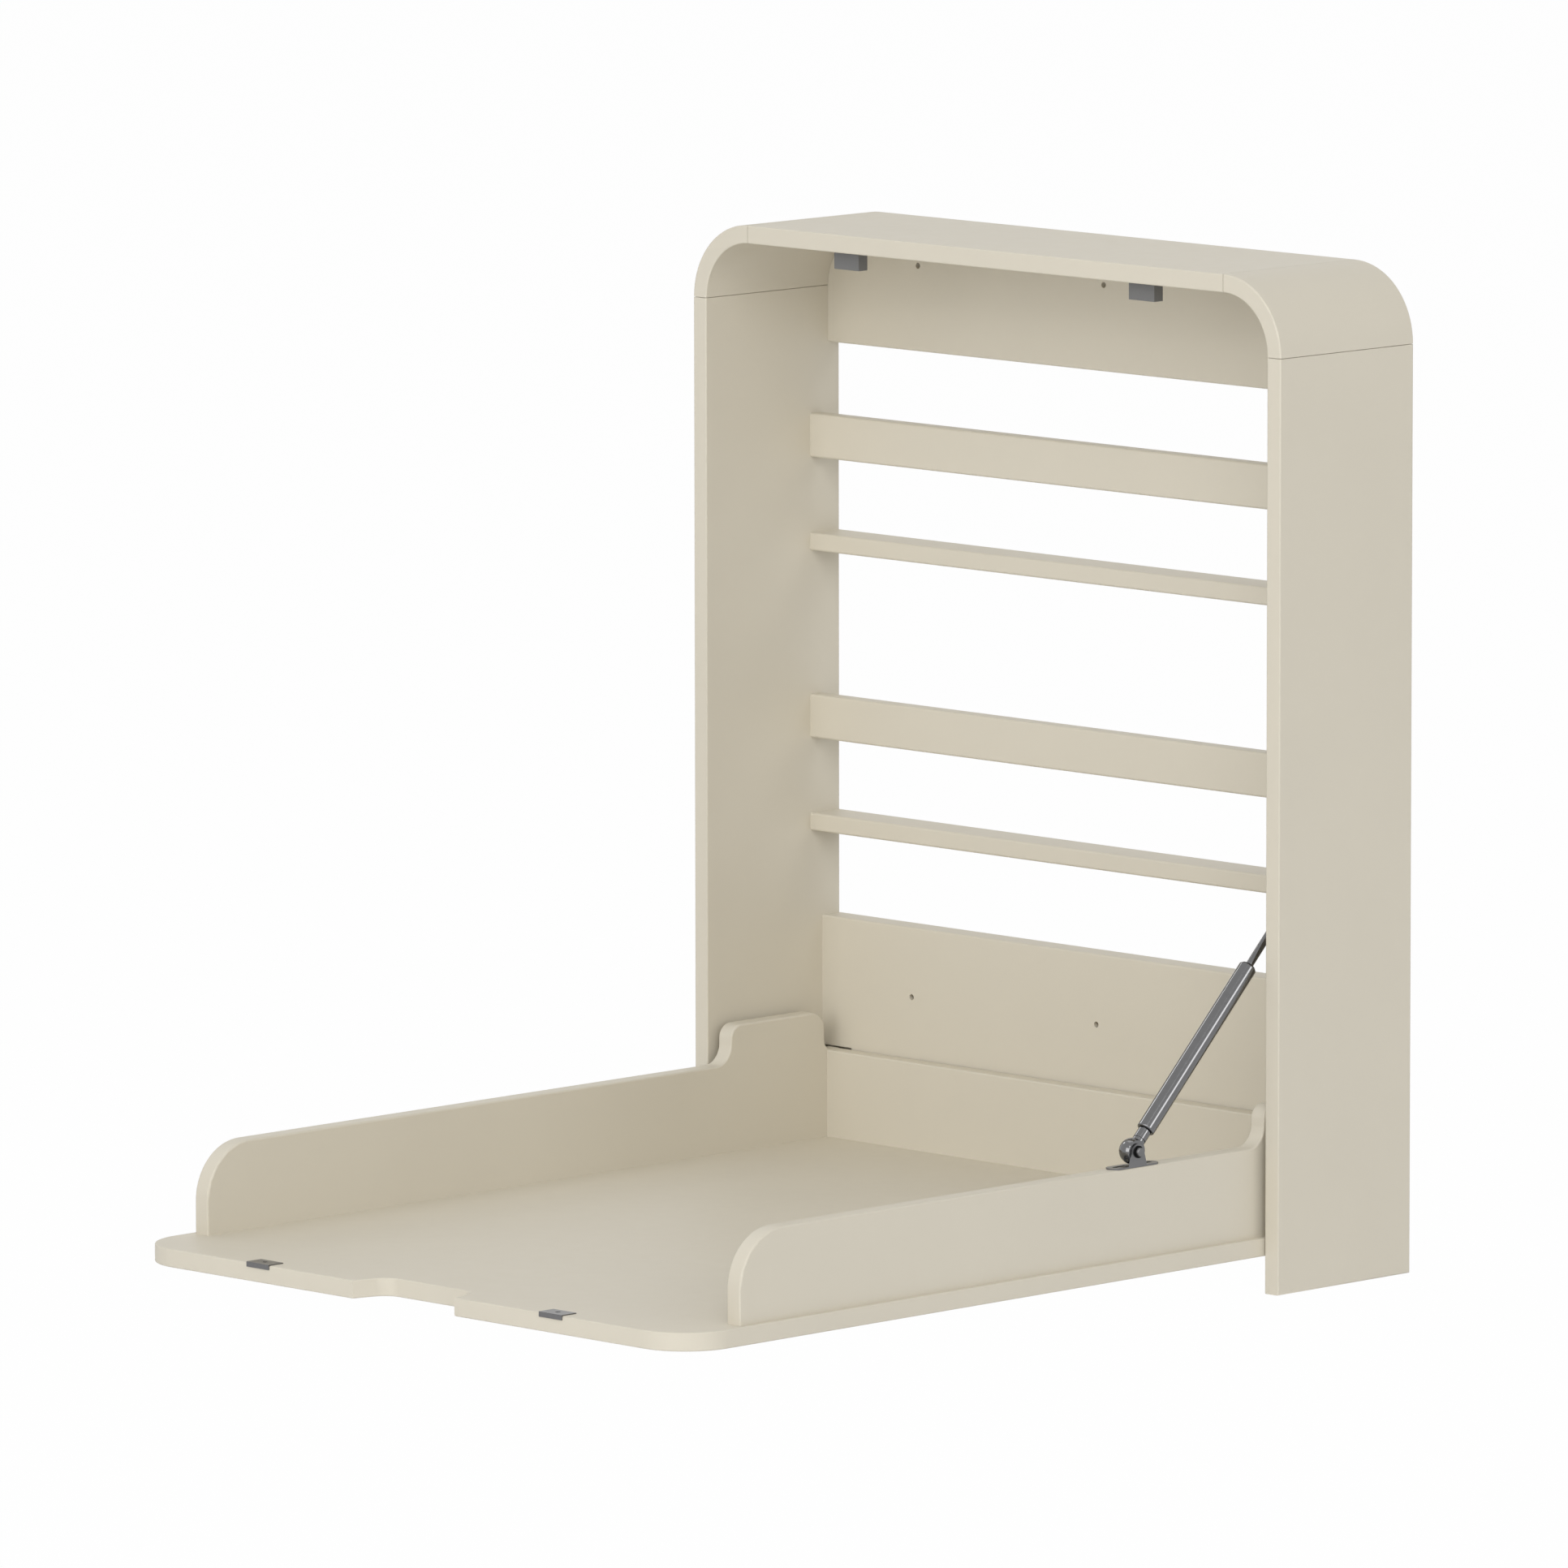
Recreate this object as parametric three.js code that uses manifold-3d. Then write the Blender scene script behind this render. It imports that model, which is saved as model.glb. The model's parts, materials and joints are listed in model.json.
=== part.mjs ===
// Wall-hung baby changing station: an arched cabinet with two shallow shelves and a tray that folds
// down on two side pivots and is carried by a gas strut at the right.
// Millimetres, +X to the right seen from the front, +Y towards the wall, +Z up.
// The origin lies on the wall face of the hanging rail, midway between the sides.

import * as THREE from "three";
import { mergeVertices } from "three/addons/utils/BufferGeometryUtils.js";
import Module from "manifold-3d";

const wasm = await Module();
wasm.setup();

// Driving dimensions. Heights count from the foot of the side panels, depths from the wall.
const WIDTH = 800;
const HEIGHT = 985.5;
const DEPTH = 187;
const BOARD = 18;
const CORNER_RADIUS = 76;

const EDGE = 1.5;
const WALL_EDGE = 2;
const SOFT_EDGE = 2.5;
const EDGE_STEPS = 2;
const ARC_STEPS = 10;
const ROUND_STEPS = 28;
const CLEARANCE = 0.3;

// Thin shadow line round each joint between a board and a bent corner.
const JOINT_LINE = 0.6;
const JOINT_LINE_DEPTH = 2;

const TOP_RAIL_HEIGHT = 115.5;
const TOP_RAIL_DEPTH = 16;
const BOTTOM_RAIL_FOOT = 30;
const BOTTOM_RAIL_HEIGHT = 244.5;
const BOTTOM_RAIL_DEPTH = 25;
const REBATE_DEPTH = 16;
const REBATE_BELOW_WALL = 1;
const REBATE_END_ABOVE_WALL = 1.25;
const REBATE_END_SPARE = 15;
const RAIL_CORNER_EASE = 1;
const SCREW_HOLE_RADIUS = 3;
const SCREW_HOLE_SPACING = 256;
const TOP_HOLE_RISE = 85.5;
const BOTTOM_HOLE_DROP = 70.5;

const SHELF_GUIDE_GAP = 13;
const UPPER_SHELF_DROP = 207.75;
const LOWER_SHELF_RISE = 87;
const LIP_RISE = 94;
const LIP_HEIGHT = 44;

const TONGUE_THICK = 6;
const TONGUE_REACH = 8;
const TONGUE_INSET = 10;
const GROOVE_EXTRA = 0.5;

const PLATFORM_FOOT = 36.25;
const PLATFORM_SIDE_GAP = 1.25;
const PLATFORM_BACK_GAP = 0.25;
const PLATFORM_CORNER = 56;
const PLATFORM_REAR_CORNER = 4;
const CLOSED_TOP_GAP = 2.5;
const NOTCH_MOUTH = 70;
const NOTCH_FLOOR = 59.5;
const NOTCH_DEPTH = 36.75;
const NOTCH_ROUND = 15;

const WALL_HEIGHT = 88;
const WALL_SETBACK = 78.5;
const WALL_BACK_GAP = 1.5;
const WALL_NOSE_RADIUS = 56;
const EAR_AHEAD_OF_PIVOT = 65.25;
const EAR_BEHIND_PIVOT = 67.5;
const EAR_RISE = 39.5;
const EAR_FRONT_ROUND = 14.5;
const EAR_FRONT_FILLET = 20;
const EAR_BACK_ROUND = 18.5;
const EAR_BACK_FILLET = 10;

const PIVOT_DEPTH = 114.75;
const PIVOT_RADIUS = 5;
const PIVOT_FLANGE_RADIUS = 15;
const PIVOT_FLANGE = 3.5;
const PIVOT_IN_WALL = 13;
const PIVOT_SIDE_PLAY = 0.5;
const PIVOT_END_GAP = 1;
const BUSH_RADIUS = 8;
const BUSH_FLANGE = 4;
const BUSH_DEPTH = 12;

const CATCH_CENTRE = 201;
const CATCH_SHIFT = -5;
const CATCH_WIDTH = 34;
const CATCH_DEPTH = 12.5;
const CATCH_HEIGHT = 19;
const CATCH_GAP = 1;
const CATCH_EDGE = 0.5;
const CATCH_FLOOR = 3;
const CATCH_FRONT_WALL = 1.5;
const MAGNET_WIDTH = 28;
const MAGNET_DEPTH = 5;

const STRIKE_WIDTH = 31;
const STRIKE_REACH = 18.25;
const STRIKE_THICK = 1;
const STRIKE_FLANGE = 4;
const STRIKE_HOLE_SETBACK = 9.25;
const STRIKE_HOLE_RADIUS = 2.5;

const SMALL_HEAD_RADIUS = 2.2;
const SMALL_HEAD_HEIGHT = 0.75;
const SMALL_SHANK_RADIUS = 1.3;
const SMALL_SHANK_LENGTH = 11;
const SMALL_BORE_SPARE = 1;

const BALL_DEPTH = 354.25;
const BALL_RADIUS = 12.75;
const BALL_GAP = 0.5;
const STRUT_RISE_DEGREES = 45;
const NECK_RADIUS = 6.5;
const NECK_GAP = 0.25;
const CYLINDER_START = 25.5;
const CYLINDER_LENGTH = 202;
const CYLINDER_RADIUS = 9;
const CYLINDER_WALL = 1.5;
const CYLINDER_FLOOR = 5;
const CYLINDER_EDGE = 0.75;
const GLAND_LENGTH = 14;
const GLAND_PROUD = 1;
const ROD_RADIUS = 3.75;
const PISTON_LENGTH = 12;
const PISTON_REST_GAP = 26;
const EYE_RADIUS = 8;
const EYE_HALF_WIDTH = 4.5;
const EYE_COLLAR_RADIUS = 5.5;
const EYE_COLLAR_LENGTH = 20;

const GUIDE_FOOT_GAP = 7.5;
const GUIDE_TOP_GAP = 4.5;
const GUIDE_HALF_WIDTH = 11.75;
const GUIDE_REACH = 7.5;
const GUIDE_SHEET = 1.5;
const GUIDE_SCREW_INSET = 30;
const ROLLER_RADIUS = 4.5;
const ROLLER_END_GAP = 1.25;
const ROLLER_WIDTH = 4.4;
const ROLLER_PIN_RADIUS = 2.5;
const ROLLER_SHOULDER_RADIUS = 3.5;
const ROLLER_PIN_HEAD_RADIUS = 4.5;
const ROLLER_PIN_HEAD = 2;

const BRACKET_LENGTH = 65;
const BRACKET_SHEET = 1.5;
const BRACKET_SLOT_LENGTH = 18;
const BRACKET_SLOT_WIDTH = 5;
const BRACKET_SLOT_OFFSET = 17;
const BRACKET_EAR_BASE = 24.5;
const BRACKET_EAR_ROUND = 8;
const BRACKET_PIN_RADIUS = 3;
const BRACKET_PIN_DEPTH = 8;
const BRACKET_PIN_HEAD_RADIUS = 4.5;
const BRACKET_PIN_HEAD = 3.5;
const BRACKET_PIN_EDGE = 0.75;
const WASHER_RADIUS = 6;
const WASHER_THICK = 1;

// Dimensions that follow from the ones above.
const HALF = WIDTH / 2;
const INSIDE = HALF - BOARD;
const CORNER_JOINT = HEIGHT - CORNER_RADIUS;
const ARCH_CENTRE = HALF - CORNER_RADIUS;
const CEILING = HEIGHT - BOARD;
const MOUNT_HEIGHT = CORNER_JOINT;
const TOP_RAIL_FOOT = CEILING - TOP_RAIL_HEIGHT;
const BOTTOM_RAIL_TOP = BOTTOM_RAIL_FOOT + BOTTOM_RAIL_HEIGHT;
const SHELF_FEET = { upper: TOP_RAIL_FOOT - UPPER_SHELF_DROP, lower: BOTTOM_RAIL_TOP + LOWER_SHELF_RISE };

// The closed tray lies flush with the front of the cabinet, which fixes the height of its pivots.
const PIVOT_HEIGHT = PLATFORM_FOOT + DEPTH - PIVOT_DEPTH;
const PLATFORM_TOP = PLATFORM_FOOT + BOARD;
const PLATFORM_FRONT = PIVOT_DEPTH + CEILING - CLOSED_TOP_GAP - PIVOT_HEIGHT;
const PLATFORM_BACK = REBATE_DEPTH + PLATFORM_BACK_GAP;
const PLATFORM_HALF_WIDTH = INSIDE - PLATFORM_SIDE_GAP;
const WALL_OUTSIDE = INSIDE - BUSH_FLANGE - PIVOT_FLANGE - PIVOT_SIDE_PLAY;
const WALL_INSIDE = WALL_OUTSIDE - BOARD;
const WALL_TOP = PLATFORM_TOP + WALL_HEIGHT;
const WALL_FRONT = PLATFORM_FRONT - WALL_SETBACK;
const WALL_BACK = BOTTOM_RAIL_DEPTH + WALL_BACK_GAP;
const EAR_FRONT = PIVOT_DEPTH + EAR_AHEAD_OF_PIVOT;
const EAR_BACK = PIVOT_DEPTH - EAR_BEHIND_PIVOT;
const EAR_TOP = WALL_TOP + EAR_RISE;
const CATCH_FRONT = DEPTH - BOARD - STRIKE_THICK - CATCH_GAP;

// The strut hangs upright in its guide when the tray is closed, which fixes the guide's depth.
const STRUT_X = WALL_OUTSIDE - BOARD / 2;
const BALL_HEIGHT = WALL_TOP + BRACKET_SHEET + BALL_GAP + BALL_RADIUS;
const BRACKET_WIDTH = 2 * (NECK_RADIUS + NECK_GAP + BRACKET_SHEET);
const BALL_FLAT = BRACKET_WIDTH / 2 - BRACKET_SHEET - CLEARANCE;
const GUIDE_DEPTH = PIVOT_DEPTH - BALL_HEIGHT + PIVOT_HEIGHT;
const STRUT_RISE = THREE.MathUtils.degToRad(STRUT_RISE_DEGREES);
const STRUT_LENGTH = (BALL_DEPTH - GUIDE_DEPTH) / Math.cos(STRUT_RISE);
const CYLINDER_END = CYLINDER_START + CYLINDER_LENGTH;
const CYLINDER_BORE = CYLINDER_RADIUS - CYLINDER_WALL;
const PISTON_START = CYLINDER_START + CYLINDER_FLOOR + PISTON_REST_GAP;
const ROLLER_HEIGHT = BALL_HEIGHT + STRUT_LENGTH * Math.sin(STRUT_RISE);
const ROLLER_START = INSIDE - GUIDE_SHEET - ROLLER_END_GAP - ROLLER_WIDTH - STRUT_X;
const GUIDE_FOOT = ROLLER_HEIGHT - GUIDE_FOOT_GAP;
const GUIDE_TOP = CORNER_JOINT - GUIDE_TOP_GAP;
const SHELF_DEPTH = GUIDE_DEPTH - GUIDE_HALF_WIDTH - SHELF_GUIDE_GAP;
const RIGHT_ANGLE = Math.PI / 2;
const SIDES = { left: -1, right: 1 };

const FINISHES = {
  lacquer: { color: 0xd3cbbb, roughness: 0.55, metalness: 0 },
  hidden_wood: { color: 0xc8a878, roughness: 0.8, metalness: 0 },
  grey_plastic: { color: 0x707070, roughness: 0.6, metalness: 0 },
  black_plastic: { color: 0x1c1c1d, roughness: 0.5, metalness: 0 },
  white_plastic: { color: 0xdedede, roughness: 0.5, metalness: 0 },
  steel: { color: 0x9a9a9c, roughness: 0.35, metalness: 1 },
  chrome: { color: 0xb4b4b8, roughness: 0.12, metalness: 1 },
  magnet: { color: 0x4c4c4e, roughness: 0.45, metalness: 0.6 },
};

// Solids

function solid(geometry) {
  const bare = geometry.clone();
  bare.deleteAttribute("normal");
  bare.deleteAttribute("uv");
  const merged = mergeVertices(bare, 1e-4);
  const mesh = new wasm.Mesh({
    numProp: 3,
    vertProperties: merged.attributes.position.array,
    triVerts: new Uint32Array(merged.index.array),
  });
  return new wasm.Manifold(mesh);
}

function surface(body) {
  const { vertProperties, triVerts } = body.getMesh();
  const geometry = new THREE.BufferGeometry();
  geometry.setAttribute("position", new THREE.BufferAttribute(vertProperties, 3));
  geometry.setIndex(new THREE.BufferAttribute(triVerts, 1));
  return geometry;
}

function cut(geometry, ...tools) {
  return surface(tools.reduce((body, tool) => body.subtract(solid(tool)), solid(geometry)));
}

function common(geometry, other) {
  return surface(solid(geometry).intersect(solid(other)));
}

function join(geometry, ...others) {
  return surface(others.reduce((body, other) => body.add(solid(other)), solid(geometry)));
}

function block(low, high) {
  const size = high.map((value, i) => value - low[i]);
  const centre = high.map((value, i) => (value + low[i]) / 2);
  return new THREE.BoxGeometry(...size).translate(...centre);
}

// An outline drawn in X and Y, thickened along +Z, with its face edges rounded.
function slab(outline, thickness, round) {
  const geometry = new THREE.ExtrudeGeometry(outline, {
    depth: thickness - 2 * round,
    bevelEnabled: round > 0,
    bevelThickness: round,
    bevelSize: round,
    bevelOffset: -round,
    bevelSegments: EDGE_STEPS,
    curveSegments: ARC_STEPS,
  });
  return geometry.translate(0, 0, round);
}

// An outline drawn in Y and Z, thickened along +X from a start position.
function slabAlongX(outline, start, thickness, round) {
  const axes = new THREE.Matrix4().makeBasis(
    new THREE.Vector3(0, 1, 0),
    new THREE.Vector3(0, 0, 1),
    new THREE.Vector3(1, 0, 0),
  );
  return slab(outline, thickness, round).applyMatrix4(axes).translate(start, 0, 0);
}

// An outline drawn in X and Z, thickened along -Y from a start position.
function slabAlongY(outline, start, thickness, round) {
  const axes = new THREE.Matrix4().makeBasis(
    new THREE.Vector3(1, 0, 0),
    new THREE.Vector3(0, 0, 1),
    new THREE.Vector3(0, -1, 0),
  );
  return slab(outline, thickness, round).applyMatrix4(axes).translate(0, start, 0);
}

function rectangle(left, bottom, right, top) {
  const outline = new THREE.Shape();
  outline.moveTo(left, bottom);
  outline.lineTo(right, bottom);
  outline.lineTo(right, top);
  outline.lineTo(left, top);
  outline.closePath();
  return outline;
}

function roundedRectangle(left, bottom, right, top, radius) {
  const outline = new THREE.Shape();
  outline.absarc(right - radius, bottom + radius, radius, -RIGHT_ANGLE, 0, false);
  outline.absarc(right - radius, top - radius, radius, 0, RIGHT_ANGLE, false);
  outline.absarc(left + radius, top - radius, radius, RIGHT_ANGLE, Math.PI, false);
  outline.absarc(left + radius, bottom + radius, radius, Math.PI, 3 * RIGHT_ANGLE, false);
  outline.closePath();
  return outline;
}

// A board along X between the side panels, with its two front edges rounded and its ends square.
function railBoard(foot, top, depth) {
  const outline = new THREE.Shape();
  outline.moveTo(0, foot);
  outline.lineTo(0, top);
  outline.absarc(SOFT_EDGE - depth, top - SOFT_EDGE, SOFT_EDGE, RIGHT_ANGLE, Math.PI, false);
  outline.absarc(SOFT_EDGE - depth, foot + SOFT_EDGE, SOFT_EDGE, Math.PI, 3 * RIGHT_ANGLE, false);
  outline.closePath();
  return slabAlongX(outline, -INSIDE, 2 * INSIDE, 0);
}

// The rim of a thin layer of a board, as blocks along the faces across the given axes.
function rim(low, high, axes) {
  const outerLow = low.map((value, i) => (axes.includes(i) ? value - JOINT_LINE_DEPTH : value));
  const outerHigh = high.map((value, i) => (axes.includes(i) ? value + JOINT_LINE_DEPTH : value));
  return axes.flatMap((axis) => {
    const nearHigh = outerHigh.map((value, i) => (i === axis ? low[i] + JOINT_LINE_DEPTH : value));
    const farLow = outerLow.map((value, i) => (i === axis ? high[i] - JOINT_LINE_DEPTH : value));
    return [block(outerLow, nearHigh), block(farLow, outerHigh)];
  });
}

// A profile of [radius, distance] pairs turned about the X axis, or about the Z axis.
function turnedAboutZ(profile) {
  const points = profile.map(([radius, distance]) => new THREE.Vector2(radius, distance));
  return new THREE.LatheGeometry(points, ROUND_STEPS).rotateX(RIGHT_ANGLE);
}

function turnedAboutX(profile) {
  return turnedAboutZ(profile).rotateY(RIGHT_ANGLE);
}

function pegProfile(radius, start, end) {
  return [
    [0, start],
    [radius, start],
    [radius, end],
    [0, end],
  ];
}

function ringProfile(inner, outer, start, end) {
  return [
    [inner, start],
    [outer, start],
    [outer, end],
    [inner, end],
    [inner, start],
  ];
}

function piece(parent, name, geometry, finish) {
  const mesh = new THREE.Mesh(geometry, new THREE.MeshStandardMaterial(FINISHES[finish]));
  mesh.name = name;
  parent.add(mesh);
}

// A position along X on one side: the outer value on the right, mirrored on the left.
function spanAlongX(side, inner, outer) {
  return side > 0 ? inner : -outer;
}

// Cabinet boards

function sideTongue(side, grow) {
  const start = spanAlongX(side, HALF - BOARD / 2 - TONGUE_THICK / 2, HALF - BOARD / 2 + TONGUE_THICK / 2);
  return block(
    [start, TONGUE_INSET - DEPTH, CORNER_JOINT - TONGUE_REACH - grow],
    [start + TONGUE_THICK, -TONGUE_INSET, CORNER_JOINT + TONGUE_REACH + grow],
  );
}

function topTongue(side, grow) {
  const middle = HEIGHT - BOARD / 2;
  const reach = TONGUE_REACH + grow;
  const start = side * ARCH_CENTRE;
  return block(
    [start - reach, TONGUE_INSET - DEPTH, middle - TONGUE_THICK / 2],
    [start + reach, -TONGUE_INSET, middle + TONGUE_THICK / 2],
  );
}

function pivotSocket(side) {
  const end = INSIDE + BUSH_DEPTH + CLEARANCE;
  return turnedAboutX(pegProfile(BUSH_RADIUS + CLEARANCE, INSIDE - 1, end))
    .scale(side, side, 1)
    .translate(0, -PIVOT_DEPTH, PIVOT_HEIGHT);
}

function guideScrewHeights() {
  return { lower: GUIDE_FOOT + GUIDE_SCREW_INSET, upper: GUIDE_TOP - GUIDE_SCREW_INSET };
}

function sidePanel(side) {
  const start = spanAlongX(side, INSIDE, HALF);
  const outline = rectangle(-DEPTH, 0, 0, CORNER_JOINT + BOARD);
  const panel = slabAlongX(outline, start, BOARD, EDGE);
  const tools = [
    block([start - 1, -DEPTH - 1, CORNER_JOINT], [start + BOARD + 1, 1, CORNER_JOINT + 2 * BOARD]),
    ...rim([start, -DEPTH, CORNER_JOINT - JOINT_LINE], [start + BOARD, 0, CORNER_JOINT + 1], [0, 1]),
    sideTongue(side, GROOVE_EXTRA),
    pivotSocket(side),
  ];
  if (side > 0) {
    for (const height of Object.values(guideScrewHeights())) {
      const end = INSIDE - GUIDE_SHEET + SMALL_SHANK_LENGTH + SMALL_BORE_SPARE;
      const bore = turnedAboutX(pegProfile(SMALL_SHANK_RADIUS + CLEARANCE, INSIDE - 1, end));
      tools.push(bore.translate(0, -GUIDE_DEPTH, height));
    }
  }
  return cut(panel, ...tools);
}

// Drawn for the right side with a straight length past each joint, which is then cut off square.
function corner(side) {
  const outline = new THREE.Shape();
  outline.moveTo(INSIDE, CORNER_JOINT - BOARD);
  outline.lineTo(HALF, CORNER_JOINT - BOARD);
  outline.absarc(ARCH_CENTRE, CORNER_JOINT, CORNER_RADIUS, 0, RIGHT_ANGLE, false);
  outline.lineTo(ARCH_CENTRE - BOARD, HEIGHT);
  outline.lineTo(ARCH_CENTRE - BOARD, CEILING);
  outline.absarc(ARCH_CENTRE, CORNER_JOINT, CORNER_RADIUS - BOARD, RIGHT_ANGLE, 0, true);
  outline.closePath();
  const bend = slabAlongY(outline, 0, DEPTH, EDGE);
  const past = 2 * BOARD;
  const square = cut(
    bend,
    block([ARCH_CENTRE - past, -DEPTH - 1, CORNER_JOINT - past], [HALF + 1, 1, CORNER_JOINT]),
    block([ARCH_CENTRE - past, -DEPTH - 1, CORNER_JOINT - past], [ARCH_CENTRE, 1, HEIGHT + 1]),
    sideTongue(1, GROOVE_EXTRA),
    topTongue(1, GROOVE_EXTRA),
  );
  return side > 0 ? square : square.rotateZ(Math.PI).translate(0, -DEPTH, 0);
}

function topPanel() {
  const outline = roundedRectangle(-DEPTH, CEILING, 0, HEIGHT, EDGE);
  const panel = slabAlongX(outline, -ARCH_CENTRE, 2 * ARCH_CENTRE, 0);
  const lines = Object.values(SIDES).flatMap((side) => {
    const start = spanAlongX(side, ARCH_CENTRE - JOINT_LINE, ARCH_CENTRE + 1);
    return rim([start, -DEPTH, CEILING], [start + JOINT_LINE + 1, 0, HEIGHT], [1, 2]);
  });
  return cut(panel, ...lines, topTongue(-1, GROOVE_EXTRA), topTongue(1, GROOVE_EXTRA));
}

function wallScrewHoles(height) {
  return [-1, 0, 1].map((step) => {
    const bore = new THREE.CylinderGeometry(SCREW_HOLE_RADIUS, SCREW_HOLE_RADIUS, 4 * BOARD, ROUND_STEPS);
    return bore.translate(step * SCREW_HOLE_SPACING, 0, height);
  });
}

function topRail() {
  const radius = CORNER_RADIUS - BOARD + RAIL_CORNER_EASE;
  const outline = new THREE.Shape();
  outline.moveTo(-INSIDE, TOP_RAIL_FOOT - 1);
  outline.lineTo(INSIDE, TOP_RAIL_FOOT - 1);
  outline.absarc(INSIDE - radius, CEILING - radius, radius, 0, RIGHT_ANGLE, false);
  outline.absarc(radius - INSIDE, CEILING - radius, radius, RIGHT_ANGLE, Math.PI, false);
  outline.closePath();
  const arch = slabAlongY(outline, BOARD, 2 * BOARD + TOP_RAIL_DEPTH, 0);
  const board = railBoard(TOP_RAIL_FOOT, CEILING + BOARD, TOP_RAIL_DEPTH);
  return cut(common(board, arch), ...wallScrewHoles(TOP_RAIL_FOOT + TOP_HOLE_RISE));
}

// The lower part is set back so that the rear of the tray can swing past it.
function bottomRail() {
  const front = -BOTTOM_RAIL_DEPTH - 1;
  const low = BOTTOM_RAIL_FOOT - 1;
  const tools = [block([-HALF, front, low], [HALF, -REBATE_DEPTH, WALL_TOP - REBATE_BELOW_WALL])];
  const endLength = HALF - WALL_INSIDE + REBATE_END_SPARE;
  for (const side of Object.values(SIDES)) {
    const start = spanAlongX(side, HALF - endLength, HALF);
    const top = WALL_TOP + REBATE_END_ABOVE_WALL;
    tools.push(block([start, front, low], [start + endLength, -REBATE_DEPTH, top]));
  }
  const board = railBoard(BOTTOM_RAIL_FOOT, BOTTOM_RAIL_TOP, BOTTOM_RAIL_DEPTH);
  return cut(board, ...tools, ...wallScrewHoles(BOTTOM_RAIL_TOP - BOTTOM_HOLE_DROP));
}

function shelf(foot) {
  const outline = roundedRectangle(-SHELF_DEPTH, foot, 0, foot + BOARD, SOFT_EDGE);
  return slabAlongX(outline, -INSIDE, 2 * INSIDE, 0);
}

function shelfLip(foot) {
  const low = foot + LIP_RISE;
  const back = BOARD - SHELF_DEPTH;
  const outline = roundedRectangle(-SHELF_DEPTH, low, back, low + LIP_HEIGHT, SOFT_EDGE);
  return slabAlongX(outline, -INSIDE, 2 * INSIDE, 0);
}

// Catches, pivots and guide

function catchCentre(side) {
  return side * CATCH_CENTRE + CATCH_SHIFT;
}

// The magnet drops into its housing from above, so that the front of the housing stays plain.
function magnetBlock(side, spare) {
  const half = MAGNET_WIDTH / 2 + spare;
  const front = CATCH_FRONT_WALL - CATCH_FRONT;
  return block(
    [catchCentre(side) - half, front - spare, CEILING - CATCH_HEIGHT + CATCH_FLOOR - spare],
    [catchCentre(side) + half, front + MAGNET_DEPTH + spare, CEILING - CLEARANCE + 2 * spare],
  );
}

function catchHousing(side) {
  const half = CATCH_WIDTH / 2;
  const outline = rectangle(-half, CEILING - CATCH_HEIGHT, half, CEILING);
  const housing = slabAlongY(outline, CATCH_DEPTH - CATCH_FRONT, CATCH_DEPTH, CATCH_EDGE);
  return cut(housing.translate(catchCentre(side), 0, 0), magnetBlock(side, CLEARANCE));
}

function pivotBush(side) {
  const bore = PIVOT_RADIUS + CLEARANCE;
  const profile = [
    [bore, INSIDE - BUSH_FLANGE],
    [PIVOT_FLANGE_RADIUS, INSIDE - BUSH_FLANGE],
    [PIVOT_FLANGE_RADIUS, INSIDE],
    [BUSH_RADIUS, INSIDE],
    [BUSH_RADIUS, INSIDE + BUSH_DEPTH],
    [bore, INSIDE + BUSH_DEPTH],
    [bore, INSIDE - BUSH_FLANGE],
  ];
  return turnedAboutX(profile).scale(side, side, 1).translate(0, -PIVOT_DEPTH, PIVOT_HEIGHT);
}

function pivotPin(side) {
  const flangeEnd = WALL_OUTSIDE + PIVOT_FLANGE;
  const profile = [
    [0, WALL_OUTSIDE - PIVOT_IN_WALL],
    [PIVOT_RADIUS, WALL_OUTSIDE - PIVOT_IN_WALL],
    [PIVOT_RADIUS, WALL_OUTSIDE],
    [PIVOT_FLANGE_RADIUS, WALL_OUTSIDE],
    [PIVOT_FLANGE_RADIUS, flangeEnd],
    [PIVOT_RADIUS, flangeEnd],
    [PIVOT_RADIUS, INSIDE + BUSH_DEPTH - PIVOT_END_GAP],
    [0, INSIDE + BUSH_DEPTH - PIVOT_END_GAP],
  ];
  return turnedAboutX(profile).scale(side, side, 1).translate(0, -PIVOT_DEPTH, PIVOT_HEIGHT);
}

// A channel on the inner face of the right panel, open towards the strut.
function stayGuide() {
  const open = INSIDE - GUIDE_REACH;
  const base = INSIDE - GUIDE_SHEET;
  const front = -GUIDE_DEPTH - GUIDE_HALF_WIDTH;
  const back = -GUIDE_DEPTH + GUIDE_HALF_WIDTH;
  const outline = new THREE.Shape();
  outline.moveTo(open, front);
  outline.lineTo(INSIDE, front);
  outline.lineTo(INSIDE, back);
  outline.lineTo(open, back);
  outline.lineTo(open, back - GUIDE_SHEET);
  outline.lineTo(base, back - GUIDE_SHEET);
  outline.lineTo(base, front + GUIDE_SHEET);
  outline.lineTo(open, front + GUIDE_SHEET);
  outline.closePath();
  const channel = slab(outline, GUIDE_TOP - GUIDE_FOOT, 0).translate(0, 0, GUIDE_FOOT);
  const bores = Object.values(guideScrewHeights()).map((height) => {
    const bore = turnedAboutX(pegProfile(SMALL_SHANK_RADIUS + CLEARANCE, INSIDE - BOARD, INSIDE + 1));
    return bore.translate(0, -GUIDE_DEPTH, height);
  });
  return cut(channel, ...bores);
}

// A small flat-headed screw, its head resting at zero and its shank running to +Z.
function smallScrewProfile() {
  return [
    [0, -SMALL_HEAD_HEIGHT],
    [SMALL_HEAD_RADIUS, -SMALL_HEAD_HEIGHT],
    [SMALL_HEAD_RADIUS, 0],
    [SMALL_SHANK_RADIUS, 0],
    [SMALL_SHANK_RADIUS, SMALL_SHANK_LENGTH],
    [0, SMALL_SHANK_LENGTH],
  ];
}

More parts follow.
